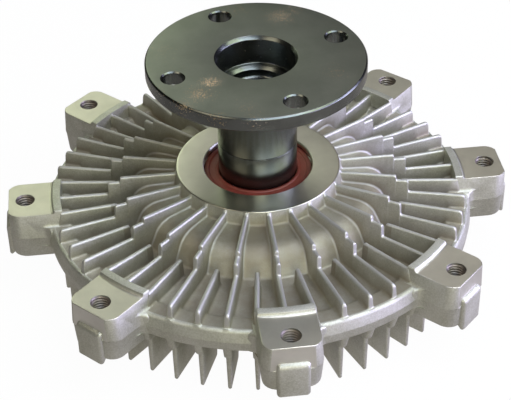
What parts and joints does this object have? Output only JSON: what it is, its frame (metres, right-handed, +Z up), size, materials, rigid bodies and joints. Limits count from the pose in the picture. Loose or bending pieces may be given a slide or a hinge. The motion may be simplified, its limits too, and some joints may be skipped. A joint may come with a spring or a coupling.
{
  "type": "viscous fan clutch",
  "caption": "Finned aluminium viscous fan clutch with fan lugs, a bearing-carried shaft ending in a drilled pump flange, and a bimetal-controlled fluid coupling inside.",
  "frame": {"origin": "on the shaft axis, in the plane of the lower fin tips that it rests on", "axes": "+Z up along the shaft towards the pump flange, +X through one fan lug"},
  "size_m": [0.2156, 0.2156, 0.1022],
  "materials": {
    "cast_aluminium": "die-cast, satin grey, with turned boss ring and milled pads",
    "cover_aluminium": "die-cast, satin grey",
    "black_steel": "black oxide, slightly oily, with small tan rust specks",
    "bearing_steel": "ground and polished",
    "cage_plastic": "moulded, natural",
    "seal_rubber": "brick-red moulded rubber, satin",
    "spring_steel": "phosphated",
    "rotor_aluminium": "turned",
    "plated_sheet": "zinc plated",
    "ring_rubber": "black, smooth",
    "valve_steel": "ground",
    "bimetal_strip": "rolled strip, faintly straw coloured"
  },
  "bodies": {
    "housing": {"rear_housing": "cast_aluminium", "front_cover": "cover_aluminium", "cover_o_ring": "ring_rubber", "bearing_outer_ring": "bearing_steel", "rear_bearing_seal": "seal_rubber", "front_bearing_seal": "seal_rubber", "bearing_circlip": "spring_steel", "partition_plate": "plated_sheet", "partition_screws": "plated_sheet", "bimetal_coil": "bimetal_strip"},
    "shaft": {"drive_shaft": "black_steel", "bearing_inner_ring": "bearing_steel", "rotor": "rotor_aluminium"},
    "bearing_set": {"bearing_balls": "bearing_steel", "bearing_cage": "cage_plastic"},
    "valve": {"valve_shaft": "valve_steel", "valve_arm": "plated_sheet", "arm_rivet_washer": "plated_sheet", "valve_o_ring": "ring_rubber", "valve_clip": "spring_steel"}
  },
  "joints": [
    {"name": "shaft_spin", "type": "hinge", "parent": "housing", "child": "shaft", "pos_m": [0, 0, 0.0405], "axis": [0, 0, 1], "continuous": true},
    {"name": "cage_spin", "type": "hinge", "parent": "housing", "child": "bearing_set", "pos_m": [0, 0, 0.0405], "axis": [0, 0, 1], "continuous": true},
    {"name": "valve_turn", "type": "hinge", "parent": "housing", "child": "valve", "pos_m": [0, 0, 0.012], "axis": [0, 0, 1], "range_deg": [0, 50], "stiffness_Nm_per_rad": 0.02, "deforming": ["bimetal_coil"]}
  ],
  "couplings": [
    {"joint": "cage_spin", "follows": "shaft_spin", "ratio": 0.3969}
  ]
}
